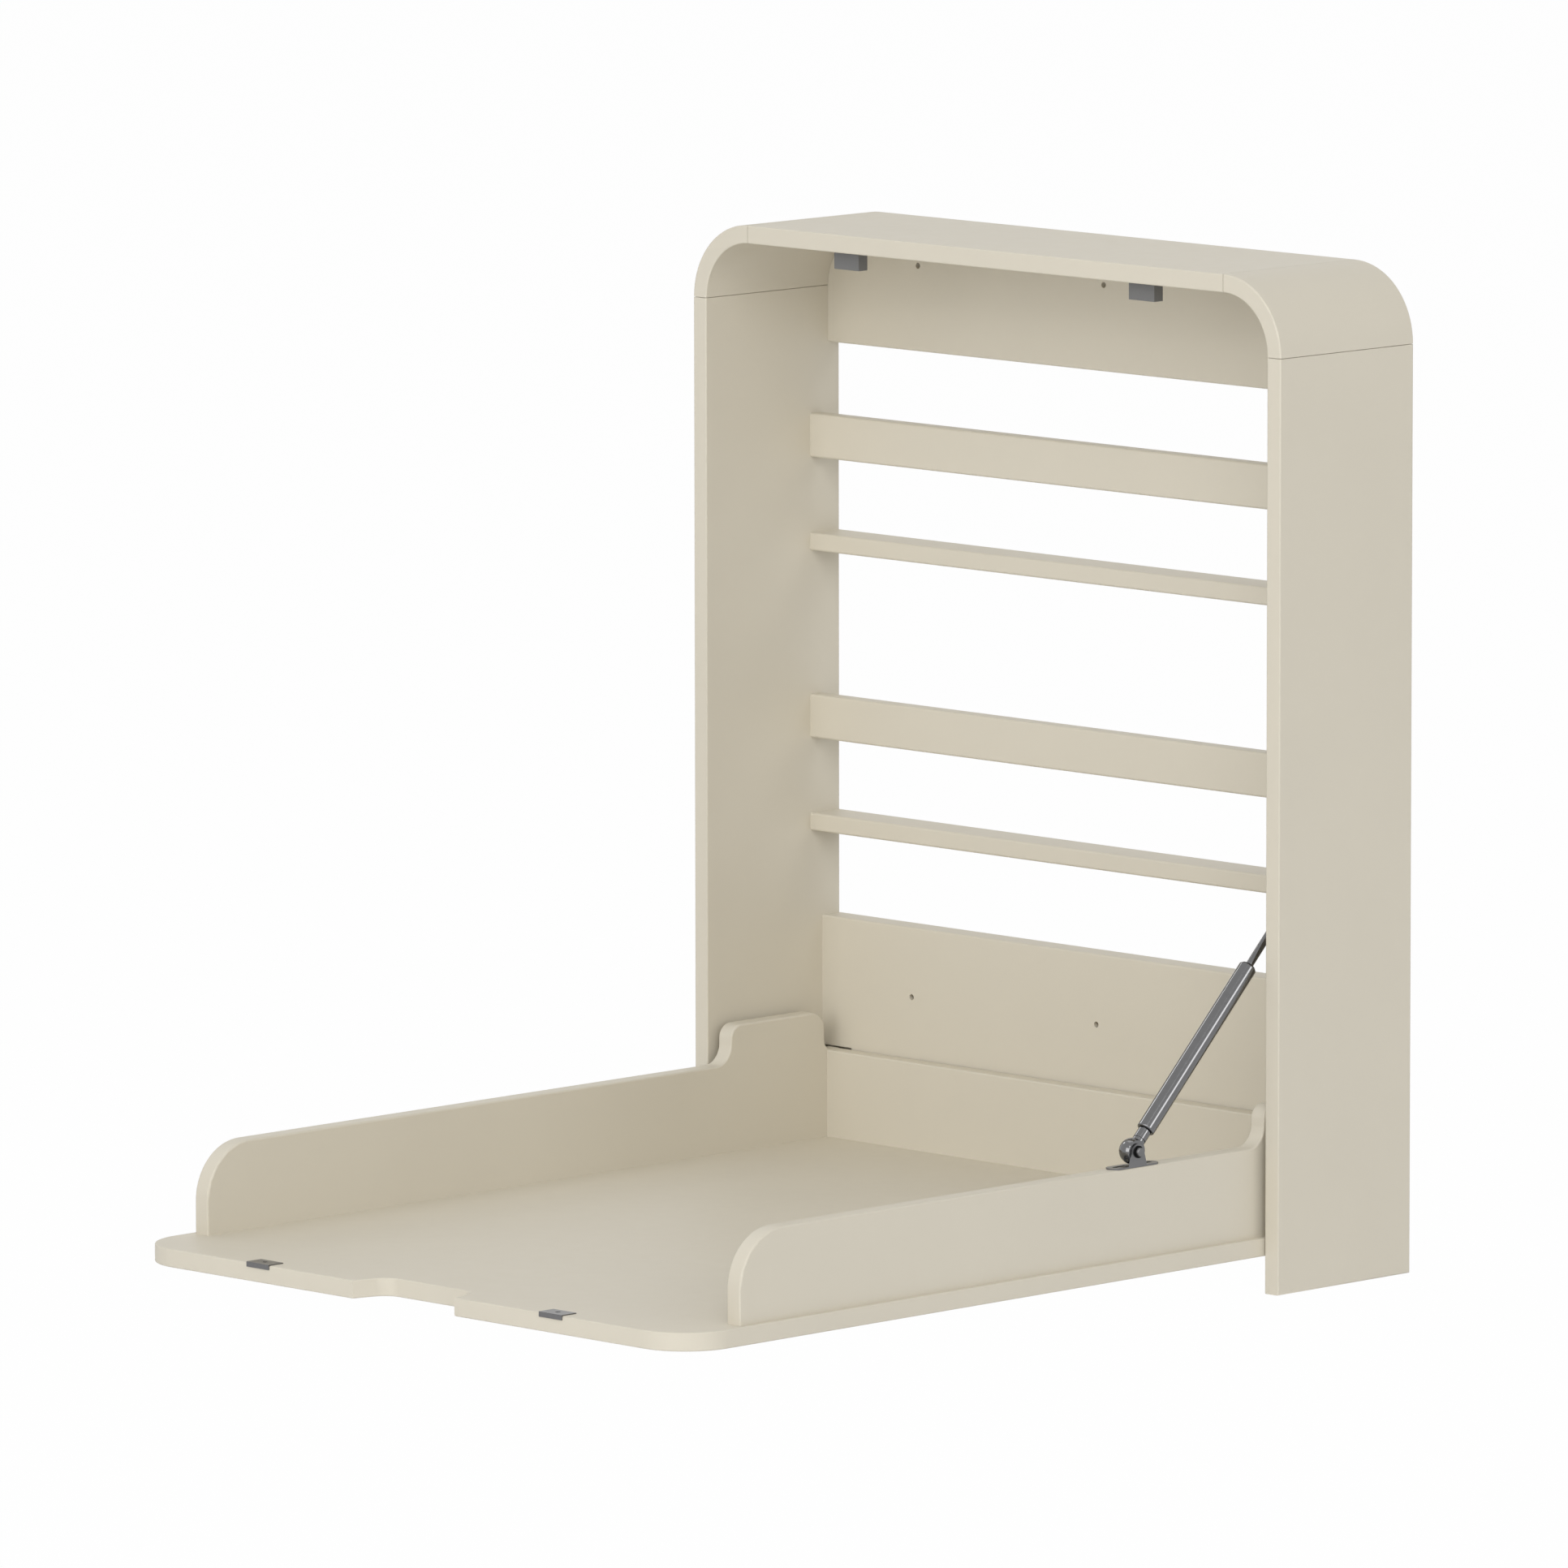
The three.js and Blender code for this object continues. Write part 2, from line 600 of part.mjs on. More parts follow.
function screwInTray() {
  return turnedAboutZ(smallScrewProfile()).rotateX(Math.PI);
}

function screwBoreInTray() {
  const radius = SMALL_SHANK_RADIUS + CLEARANCE;
  return turnedAboutZ(pegProfile(radius, -SMALL_SHANK_LENGTH - SMALL_BORE_SPARE, 1));
}

// Tray boards

function strikeHole(side) {
  return [side * CATCH_CENTRE, STRIKE_HOLE_SETBACK - PLATFORM_FRONT, PLATFORM_TOP];
}

function platform() {
  const half = PLATFORM_HALF_WIDTH;
  const front = -PLATFORM_FRONT;
  const back = -PLATFORM_BACK;
  const floor = front + NOTCH_DEPTH;
  const slope = (NOTCH_MOUTH - NOTCH_FLOOR) / NOTCH_DEPTH;
  const turn = NOTCH_FLOOR + slope * NOTCH_ROUND;
  const rear = PLATFORM_REAR_CORNER;
  const nose = PLATFORM_CORNER;
  const outline = new THREE.Shape();
  outline.absarc(half - rear, back - rear, rear, 0, RIGHT_ANGLE, false);
  outline.absarc(rear - half, back - rear, rear, RIGHT_ANGLE, Math.PI, false);
  outline.absarc(nose - half, front + nose, nose, Math.PI, 3 * RIGHT_ANGLE, false);
  outline.lineTo(-NOTCH_MOUTH, front);
  outline.lineTo(-turn, floor - NOTCH_ROUND);
  outline.quadraticCurveTo(-NOTCH_FLOOR, floor, NOTCH_ROUND - NOTCH_FLOOR, floor);
  outline.lineTo(NOTCH_FLOOR - NOTCH_ROUND, floor);
  outline.quadraticCurveTo(NOTCH_FLOOR, floor, turn, floor - NOTCH_ROUND);
  outline.lineTo(NOTCH_MOUTH, front);
  outline.absarc(half - nose, front + nose, nose, -RIGHT_ANGLE, 0, false);
  outline.closePath();
  const board = slab(outline, BOARD, EDGE).translate(0, 0, PLATFORM_FOOT);
  const bores = Object.values(SIDES).map((side) => screwBoreInTray().translate(...strikeHole(side)));
  return cut(board, ...bores);
}

function trayWallOutline() {
  const top = WALL_TOP;
  const outline = new THREE.Shape();
  outline.moveTo(-WALL_FRONT, PLATFORM_FOOT);
  outline.lineTo(-WALL_BACK, PLATFORM_FOOT);
  outline.lineTo(-WALL_BACK, top);
  const fillet = EAR_BACK_FILLET;
  outline.absarc(fillet - EAR_BACK, top + fillet, fillet, -RIGHT_ANGLE, -Math.PI, true);
  const backRound = EAR_BACK_ROUND;
  outline.absarc(-EAR_BACK - backRound, EAR_TOP - backRound, backRound, 0, RIGHT_ANGLE, false);
  const frontRound = EAR_FRONT_ROUND;
  outline.absarc(frontRound - EAR_FRONT, EAR_TOP - frontRound, frontRound, RIGHT_ANGLE, Math.PI, false);
  const sweep = Math.min(EAR_FRONT_FILLET, EAR_RISE - frontRound);
  outline.absarc(-EAR_FRONT - sweep, top + sweep, sweep, 0, -RIGHT_ANGLE, true);
  const nose = WALL_NOSE_RADIUS;
  outline.absarc(nose - WALL_FRONT, top - nose, nose, RIGHT_ANGLE, Math.PI, false);
  outline.closePath();
  return outline;
}

function bracketScrewPlaces() {
  return [-1, 1].map((step) => [STRUT_X, step * BRACKET_SLOT_OFFSET - BALL_DEPTH, WALL_TOP]);
}

function trayWall(side) {
  const inner = spanAlongX(side, WALL_INSIDE, WALL_OUTSIDE);
  const wall = slabAlongX(trayWallOutline(), inner, BOARD, WALL_EDGE);
  const start = WALL_OUTSIDE - PIVOT_IN_WALL - CLEARANCE;
  const socket = turnedAboutX(pegProfile(PIVOT_RADIUS + CLEARANCE, start, WALL_OUTSIDE + 1))
    .scale(side, side, 1)
    .translate(0, -PIVOT_DEPTH, PIVOT_HEIGHT);
  const below = block([-HALF, -PLATFORM_FRONT, PLATFORM_FOOT - 1], [HALF, 0, PLATFORM_TOP]);
  const tools = [below, socket];
  if (side > 0) {
    tools.push(...bracketScrewPlaces().map((place) => screwBoreInTray().translate(...place)));
  }
  return cut(wall, ...tools);
}

function trayBackWall() {
  const back = -WALL_BACK;
  const front = back - BOARD;
  const round = WALL_EDGE;
  const outline = new THREE.Shape();
  outline.moveTo(front, PLATFORM_TOP);
  outline.lineTo(back, PLATFORM_TOP);
  outline.absarc(back - round, WALL_TOP - round, round, 0, RIGHT_ANGLE, false);
  outline.absarc(front + round, WALL_TOP - round, round, RIGHT_ANGLE, Math.PI, false);
  outline.closePath();
  return slabAlongX(outline, -WALL_INSIDE, 2 * WALL_INSIDE, 0);
}

function strikePlate(side) {
  const front = -PLATFORM_FRONT;
  const top = PLATFORM_TOP + STRIKE_THICK;
  const outline = new THREE.Shape();
  outline.moveTo(front - STRIKE_THICK, PLATFORM_TOP - STRIKE_FLANGE);
  outline.lineTo(front, PLATFORM_TOP - STRIKE_FLANGE);
  outline.lineTo(front, PLATFORM_TOP);
  outline.lineTo(front + STRIKE_REACH, PLATFORM_TOP);
  outline.lineTo(front + STRIKE_REACH, top);
  outline.lineTo(front - STRIKE_THICK, top);
  outline.closePath();
  const plate = slabAlongX(outline, side * CATCH_CENTRE - STRIKE_WIDTH / 2, STRIKE_WIDTH, 0);
  const hole = turnedAboutZ(pegProfile(STRIKE_HOLE_RADIUS, -1, STRIKE_THICK + 1));
  return cut(plate, hole.translate(...strikeHole(side)));
}

// Strut bracket on the right tray wall

function stadium(length, width) {
  const half = length / 2 - width / 2;
  const outline = new THREE.Shape();
  outline.absarc(0, half, width / 2, 0, Math.PI, false);
  outline.absarc(0, -half, width / 2, Math.PI, 2 * Math.PI, false);
  outline.closePath();
  return outline;
}

function bracketEar() {
  const half = BRACKET_EAR_BASE / 2;
  const rise = BALL_HEIGHT - WALL_TOP;
  const lean = Math.atan2(half - BRACKET_EAR_ROUND, rise);
  const outline = new THREE.Shape();
  outline.moveTo(-half, 0);
  outline.lineTo(half, 0);
  outline.absarc(0, rise, BRACKET_EAR_ROUND, lean, Math.PI - lean, false);
  outline.closePath();
  const start = STRUT_X + BRACKET_WIDTH / 2 - BRACKET_SHEET;
  return slabAlongX(outline, start, BRACKET_SHEET, 0).translate(0, -BALL_DEPTH, WALL_TOP);
}

function strutBracket() {
  const place = [STRUT_X, -BALL_DEPTH, WALL_TOP];
  const base = slab(stadium(BRACKET_LENGTH, BRACKET_WIDTH), BRACKET_SHEET, 0).translate(...place);
  const slots = bracketScrewPlaces().map(([x, y, z]) => {
    const slot = slab(stadium(BRACKET_SLOT_LENGTH, BRACKET_SLOT_WIDTH), 2 * BRACKET_SHEET, 0);
    return slot.translate(x, y, z - BRACKET_SHEET / 2);
  });
  const bore = turnedAboutX(pegProfile(BRACKET_PIN_RADIUS + CLEARANCE, STRUT_X, STRUT_X + BOARD));
  return cut(join(base, bracketEar()), ...slots, bore.translate(0, -BALL_DEPTH, BALL_HEIGHT));
}

function bracketPin() {
  const outer = STRUT_X + BRACKET_WIDTH / 2 + WASHER_THICK;
  const profile = [
    [0, STRUT_X + BALL_FLAT - BRACKET_PIN_DEPTH],
    [BRACKET_PIN_RADIUS, STRUT_X + BALL_FLAT - BRACKET_PIN_DEPTH],
    [BRACKET_PIN_RADIUS, outer],
    [BRACKET_PIN_HEAD_RADIUS, outer],
    [BRACKET_PIN_HEAD_RADIUS, outer + BRACKET_PIN_HEAD - BRACKET_PIN_EDGE],
    [BRACKET_PIN_HEAD_RADIUS - BRACKET_PIN_EDGE, outer + BRACKET_PIN_HEAD],
    [0, outer + BRACKET_PIN_HEAD],
  ];
  return turnedAboutX(profile).translate(0, -BALL_DEPTH, BALL_HEIGHT);
}

function bracketWasher() {
  const inner = STRUT_X + BRACKET_WIDTH / 2;
  const profile = ringProfile(BRACKET_PIN_RADIUS + CLEARANCE, WASHER_RADIUS, inner, inner + WASHER_THICK);
  return turnedAboutX(profile).translate(0, -BALL_DEPTH, BALL_HEIGHT);
}

// Strut pieces, drawn along +Z from the ball's centre

function strutBallEye() {
  const ball = new THREE.SphereGeometry(BALL_RADIUS, ROUND_STEPS, ROUND_STEPS / 2);
  const neck = turnedAboutZ(pegProfile(NECK_RADIUS, BALL_RADIUS / 2, CYLINDER_START - CLEARANCE));
  const reach = 2 * BALL_RADIUS;
  const flat = block([BALL_FLAT, -reach, -reach], [reach, reach, BALL_RADIUS]);
  const depth = BALL_FLAT - BRACKET_PIN_DEPTH - CLEARANCE;
  const bore = turnedAboutX(pegProfile(BRACKET_PIN_RADIUS + CLEARANCE, depth, BALL_RADIUS));
  return join(cut(ball, flat, bore), neck);
}

function strutCylinder() {
  const lip = CYLINDER_RADIUS - CYLINDER_EDGE;
  return turnedAboutZ([
    [0, CYLINDER_START],
    [lip, CYLINDER_START],
    [CYLINDER_RADIUS, CYLINDER_START + CYLINDER_EDGE],
    [CYLINDER_RADIUS, CYLINDER_END - CYLINDER_EDGE],
    [lip, CYLINDER_END],
    [CYLINDER_BORE, CYLINDER_END],
    [CYLINDER_BORE, CYLINDER_START + CYLINDER_FLOOR],
    [0, CYLINDER_START + CYLINDER_FLOOR],
  ]);
}

function strutGland() {
  const outer = CYLINDER_BORE - CLEARANCE;
  const end = CYLINDER_END + GLAND_PROUD;
  return turnedAboutZ(ringProfile(ROD_RADIUS + CLEARANCE, outer, end - GLAND_LENGTH, end));
}

function strutPiston() {
  const radius = CYLINDER_BORE - CLEARANCE;
  return turnedAboutZ(pegProfile(radius, PISTON_START, PISTON_START + PISTON_LENGTH));
}

function strutRod() {
  const start = PISTON_START + PISTON_LENGTH + CLEARANCE;
  return turnedAboutZ(pegProfile(ROD_RADIUS, start, STRUT_LENGTH - EYE_COLLAR_LENGTH - CLEARANCE));
}

function rodEye() {
  const ring = turnedAboutX(pegProfile(EYE_RADIUS, -EYE_HALF_WIDTH, EYE_HALF_WIDTH));
  const collar = turnedAboutZ(pegProfile(EYE_COLLAR_RADIUS, -EYE_COLLAR_LENGTH, -0.75 * EYE_RADIUS));
  const bore = turnedAboutX(pegProfile(ROLLER_PIN_RADIUS + CLEARANCE, -EYE_RADIUS, EYE_RADIUS));
  return cut(join(ring, collar), bore).translate(0, 0, STRUT_LENGTH);
}

function rollerPin() {
  const neck = EYE_HALF_WIDTH + CLEARANCE;
  const shoulderEnd = ROLLER_START - CLEARANCE;
  const end = ROLLER_START + ROLLER_WIDTH + CLEARANCE;
  return turnedAboutX([
    [0, -neck - ROLLER_PIN_HEAD],
    [ROLLER_PIN_HEAD_RADIUS, -neck - ROLLER_PIN_HEAD],
    [ROLLER_PIN_HEAD_RADIUS, -neck],
    [ROLLER_PIN_RADIUS, -neck],
    [ROLLER_PIN_RADIUS, neck],
    [ROLLER_SHOULDER_RADIUS, neck],
    [ROLLER_SHOULDER_RADIUS, shoulderEnd],
    [ROLLER_PIN_RADIUS, shoulderEnd],
    [ROLLER_PIN_RADIUS, end],
    [0, end],
  ]).translate(0, 0, STRUT_LENGTH);
}

function guideRoller() {
  const inner = ROLLER_PIN_RADIUS + CLEARANCE;
  const profile = ringProfile(inner, ROLLER_RADIUS, ROLLER_START, ROLLER_START + ROLLER_WIDTH);
  return turnedAboutX(profile).translate(0, 0, STRUT_LENGTH);
}

// Assembly

const station = new THREE.Group();
station.name = "changing_station";
const hung = new THREE.Group();
hung.position.z = -MOUNT_HEIGHT;
station.add(hung);
const cabinet = new THREE.Group();
const tray = new THREE.Group();
const strut = new THREE.Group();
strut.position.set(STRUT_X, -BALL_DEPTH, BALL_HEIGHT);
strut.rotation.x = STRUT_RISE - RIGHT_ANGLE;
hung.add(cabinet, tray, strut);

for (const [name, side] of Object.entries(SIDES)) {
  piece(cabinet, `${name}_side_panel`, sidePanel(side), "lacquer");
  piece(cabinet, `${name}_corner`, corner(side), "lacquer");
  piece(cabinet, `${name}_side_tongue`, sideTongue(side, 0), "hidden_wood");
  piece(cabinet, `${name}_top_tongue`, topTongue(side, 0), "hidden_wood");
  piece(cabinet, `${name}_catch_housing`, catchHousing(side), "grey_plastic");
  piece(cabinet, `${name}_catch_magnet`, magnetBlock(side, 0), "magnet");
  piece(cabinet, `${name}_pivot_bush`, pivotBush(side), "white_plastic");
  piece(tray, `${name}_tray_wall`, trayWall(side), "lacquer");
  piece(tray, `${name}_pivot_pin`, pivotPin(side), "steel");
  piece(tray, `${name}_strike_plate`, strikePlate(side), "steel");
  piece(tray, `${name}_strike_screw`, screwInTray().translate(...strikeHole(side)), "steel");
}
piece(cabinet, "top_panel", topPanel(), "lacquer");
piece(cabinet, "top_rail", topRail(), "lacquer");
piece(cabinet, "bottom_rail", bottomRail(), "lacquer");
for (const [name, foot] of Object.entries(SHELF_FEET)) {
  piece(cabinet, `${name}_shelf`, shelf(foot), "lacquer");
  piece(cabinet, `${name}_shelf_lip`, shelfLip(foot), "lacquer");
}
piece(cabinet, "stay_guide", stayGuide(), "steel");
for (const [name, height] of Object.entries(guideScrewHeights())) {
  const screw = turnedAboutX(smallScrewProfile()).translate(INSIDE - GUIDE_SHEET, -GUIDE_DEPTH, height);
  piece(cabinet, `${name}_guide_screw`, screw, "steel");
}

piece(tray, "platform", platform(), "lacquer");
piece(tray, "tray_back_wall", trayBackWall(), "lacquer");
piece(tray, "strut_bracket", strutBracket(), "steel");
piece(tray, "bracket_pin", bracketPin(), "steel");
piece(tray, "bracket_washer", bracketWasher(), "black_plastic");
bracketScrewPlaces().forEach((place, i) => {
  piece(tray, `${["front", "rear"][i]}_bracket_screw`, screwInTray().translate(...place), "steel");
});

piece(strut, "strut_ball_eye", strutBallEye(), "chrome");
piece(strut, "strut_cylinder", strutCylinder(), "chrome");
piece(strut, "strut_gland", strutGland(), "black_plastic");
piece(strut, "strut_piston", strutPiston(), "black_plastic");
piece(strut, "strut_rod", strutRod(), "chrome");
piece(strut, "rod_eye", rodEye(), "steel");
piece(strut, "roller_pin", rollerPin(), "steel");
piece(strut, "guide_roller", guideRoller(), "white_plastic");

export default station;
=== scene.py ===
import json
import math

import bmesh
import bpy
from mathutils import Matrix, Vector


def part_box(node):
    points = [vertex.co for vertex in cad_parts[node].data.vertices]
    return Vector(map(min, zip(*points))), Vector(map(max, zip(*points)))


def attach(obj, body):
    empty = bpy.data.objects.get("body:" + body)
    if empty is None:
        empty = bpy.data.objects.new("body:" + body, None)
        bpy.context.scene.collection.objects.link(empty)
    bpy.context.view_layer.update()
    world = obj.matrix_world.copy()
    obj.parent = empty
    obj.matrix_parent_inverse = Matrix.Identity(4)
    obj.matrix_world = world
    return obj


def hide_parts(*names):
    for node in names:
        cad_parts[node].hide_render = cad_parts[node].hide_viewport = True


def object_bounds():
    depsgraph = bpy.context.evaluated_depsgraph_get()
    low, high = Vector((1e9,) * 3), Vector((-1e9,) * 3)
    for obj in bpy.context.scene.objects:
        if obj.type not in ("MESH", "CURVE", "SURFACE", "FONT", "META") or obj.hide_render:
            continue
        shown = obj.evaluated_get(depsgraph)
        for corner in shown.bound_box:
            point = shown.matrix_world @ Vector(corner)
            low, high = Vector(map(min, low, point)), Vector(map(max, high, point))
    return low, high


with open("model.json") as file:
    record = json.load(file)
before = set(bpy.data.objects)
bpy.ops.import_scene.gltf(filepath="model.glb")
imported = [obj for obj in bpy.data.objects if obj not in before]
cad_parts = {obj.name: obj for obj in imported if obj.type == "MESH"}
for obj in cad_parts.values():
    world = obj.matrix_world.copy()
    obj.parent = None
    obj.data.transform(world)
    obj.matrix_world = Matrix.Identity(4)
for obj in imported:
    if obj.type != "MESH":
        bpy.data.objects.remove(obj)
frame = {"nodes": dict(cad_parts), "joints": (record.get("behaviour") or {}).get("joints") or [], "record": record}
cad_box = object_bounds()
nodes = frame["nodes"]

# Camera: a long lens at the front right, a little above, in metres and degrees.
CAMERA_PLACE = Vector((10.9416, -11.3832, 1.7186))
CAMERA_YAW = 45.049
CAMERA_PITCH = 7.885
CAMERA_ROLL = -0.080
CAMERA_LENS = 370.83
SENSOR_WIDTH = 36.0
CAMERA_FAR = 200.0

# Light: an even white room with large soft boxes, and two smaller ones that stripe the metal.
# A level is how bright the box makes a white face that is turned to it.
ROOM_LEVEL = 0.43
LIGHT_TARGET = Vector((0.0, -0.45, -0.55))
BOX_DISTANCE = 12.0
SOFT_BOXES = {
    "front_box": {"towards": (0.06, -0.96, 0.24), "size": 6.5, "level": 0.225},
    "key_box": {"towards": (0.505, -0.622, 0.597), "size": 8.0, "level": 0.34},
    "top_box": {"towards": (-0.30, 0.20, 0.93), "size": 8.0, "level": 0.11},
    "side_box": {"towards": (0.90, -0.40, 0.20), "size": 8.0, "level": 0.115},
    "right_strip": {"towards": (0.913, 0.222, 0.341), "size": 2.8, "level": 0.06},
    "left_strip": {"towards": (-0.83, -0.05, 0.56), "size": 2.0, "level": 0.04},
}
FLOOR_DROP = 0.80
FLOOR_SIZE = 60.0
FLOOR_WHITE = 0.92
FLOOR_GLOW = 0.98

# Finishes, as linear colours.
LACQUER = (0.660, 0.614, 0.513)
PLYWOOD_PALE = (0.58, 0.41, 0.22)
PLYWOOD_DARK = (0.36, 0.23, 0.11)
GREY_PLASTIC = (0.165, 0.165, 0.165)
BLACK_PLASTIC = (0.004, 0.004, 0.0042)
WHITE_PLASTIC = (0.72, 0.72, 0.71)
ZINC = (0.175, 0.175, 0.177)
CHROME = (0.165, 0.165, 0.168)
FERRITE = (0.075, 0.075, 0.078)

# Shading: facets blend into curves, up to an angle in degrees between them.
WELD_DISTANCE = 1e-6
CREASE_ANGLE = 50.0
FLAT_FACE_WEIGHT = 80

# Small screws: shares of the head's radius, and depths in metres.
SCREW_EASE = 0.1
SCREW_SHANK = 0.6
SCREW_HEAD = 0.00075
RECESS_REACH = 0.72
RECESS_HALF_WIDTH = 0.22
RECESS_DEPTH = 0.0004

# Strut turnings, in metres along the strut from the ball's centre.
TURN_STEPS = 96
BALL_RADIUS = 0.01275
BALL_FLAT = 0.00645
BALL_FIRST_ANGLE = -85.0
BALL_STEPS = 36
NECK_RADIUS = 0.0065
NECK_END = 0.0252
NECK_GROOVES = (0.0134, 0.0242)
GROOVE_WIDTH = 0.0010
GROOVE_DEPTH = 0.0007
CYLINDER = {"start": 0.0255, "end": 0.2275, "radius": 0.009, "mouth": 0.0078, "roll": 0.0016}
ROLL_STEPS = 8


class Shader:
    """Nodes of one material, added and linked by short calls."""

    def __init__(self, name):
        self.material = bpy.data.materials.new(name)
        self.material.use_nodes = True
        self.tree = self.material.node_tree
        self.surface = self.tree.nodes["Principled BSDF"]

    def add(self, kind, inputs=None, **settings):
        node = self.tree.nodes.new(kind)
        for key, value in settings.items():
            setattr(node, key, value)
        for key, value in (inputs or {}).items():
            if isinstance(value, bpy.types.NodeSocket):
                self.tree.links.new(value, node.inputs[key])
            else:
                node.inputs[key].default_value = value
        return node

    def place(self, stretch=(1.0, 1.0, 1.0)):
        """Object coordinates, stretched along the axes."""
        coordinates = self.add("ShaderNodeTexCoord").outputs["Object"]
        inputs = {"Vector": coordinates, "Scale": stretch}
        return self.add("ShaderNodeMapping", inputs).outputs["Vector"]

    def noise(self, scale, detail=3.0, stretch=(1.0, 1.0, 1.0)):
        inputs = {"Vector": self.place(stretch), "Scale": scale, "Detail": detail}
        return self.add("ShaderNodeTexNoise", inputs).outputs["Fac"]

    def between(self, value, low, high):
        """A 0 to 1 value spread over low to high."""
        inputs = {"Value": value, "To Min": low, "To Max": high}
        return self.add("ShaderNodeMapRange", inputs).outputs["Result"]

    def blend(self, factor, first, second):
        """One colour turning into another."""
        ramp = self.add("ShaderNodeValToRGB", {"Fac": factor})
        ramp.color_ramp.elements[0].color = (*first, 1.0)
        ramp.color_ramp.elements[1].color = (*second, 1.0)
        return ramp.outputs["Color"]

    def mottle(self, factor, colour, dark, pale):
        """A colour that varies between a darker and a paler share of itself."""
        return self.blend(factor, shade(colour, dark), shade(colour, pale))

    def set(self, socket, value):
        if isinstance(value, bpy.types.NodeSocket):
            self.tree.links.new(value, self.surface.inputs[socket])
        else:
            self.surface.inputs[socket].default_value = value

    def bump(self, height, strength, distance):
        inputs = {"Height": height, "Strength": strength, "Distance": distance}
        self.set("Normal", self.add("ShaderNodeBump", inputs).outputs["Normal"])


def shade(colour, factor):
    return tuple(channel * factor for channel in colour)


def lacquer():
    """Sprayed satin lacquer: faint clouding, a fine orange-peel skin and uneven gloss."""
    shader = Shader("lacquered_board")
    cloud = shader.noise(scale=7.0, detail=4.0)
    shader.set("Base Color", shader.mottle(cloud, LACQUER, dark=0.975, pale=1.02))
    shader.set("Roughness", shader.between(shader.noise(scale=55.0), low=0.42, high=0.56))
    shader.set("Specular IOR Level", 0.35)
    shader.bump(shader.noise(scale=900.0, detail=2.0), strength=0.10, distance=0.0002)
    return shader.material


def plywood():
    """Bare plywood with streaks along its length."""
    shader = Shader("hidden_wood")
    streak = shader.noise(scale=30.0, detail=6.0, stretch=(18.0, 0.8, 18.0))
    shader.set("Base Color", shader.blend(streak, PLYWOOD_DARK, PLYWOOD_PALE))
    shader.set("Roughness", shader.between(streak, low=0.6, high=0.85))
    shader.bump(streak, strength=0.25, distance=0.0005)
    return shader.material


def plastic(name, colour, roughness, grain, gloss):
    """Moulded plastic with a spark-eroded grain."""
    shader = Shader(name)
    shader.set("Specular IOR Level", gloss)
    spread = 0.08
    speckle = shader.noise(scale=grain)
    shader.set("Base Color", shader.mottle(speckle, colour, dark=0.9, pale=1.1))
    shader.set("Roughness", shader.between(speckle, roughness - spread, roughness + spread))
    shader.bump(speckle, strength=0.2, distance=0.0002)
    return shader.material


def zinc():
    """Zinc-plated sheet steel with fine rolling lines."""
    shader = Shader("steel")
    lines = shader.noise(scale=500.0, stretch=(1.0, 0.06, 1.0))
    shader.set("Base Color", shader.mottle(lines, ZINC, dark=0.88, pale=1.1))
    shader.set("Metallic", 1.0)
    shader.set("Roughness", shader.between(lines, low=0.24, high=0.40))
    shader.bump(lines, strength=0.06, distance=0.0001)
    return shader.material


def chrome():
    """Dark polished chrome with slight haze."""
    shader = Shader("chrome")
    haze = shader.noise(scale=160.0)
    shader.set("Base Color", shader.mottle(haze, CHROME, dark=0.93, pale=1.06))
    shader.set("Metallic", 1.0)
    shader.set("Roughness", shader.between(haze, low=0.07, high=0.14))
    return shader.material


def ferrite():
    """Sintered magnet face, dull and slightly pitted."""
    shader = Shader("magnet")
    pits = shader.noise(scale=1400.0, detail=2.0)
    shader.set("Base Color", shader.mottle(pits, FERRITE, dark=0.8, pale=1.2))
    shader.set("Metallic", 0.4)
    shader.set("Roughness", shader.between(pits, low=0.45, high=0.65))
    shader.bump(pits, strength=0.2, distance=0.0001)
    return shader.material


def make_materials():
    return {
        "lacquered_board": lacquer(),
        "hidden_wood": plywood(),
        "grey_plastic": plastic(
            "grey_plastic", GREY_PLASTIC, roughness=0.5, grain=700.0, gloss=0.4
        ),
        "black_plastic": plastic(
            "black_plastic", BLACK_PLASTIC, roughness=0.6, grain=900.0, gloss=0.12
        ),
        "white_plastic": plastic(
            "white_plastic", WHITE_PLASTIC, roughness=0.45, grain=900.0, gloss=0.5
        ),
        "steel": zinc(),
        "chrome": chrome(),
        "magnet": ferrite(),
    }


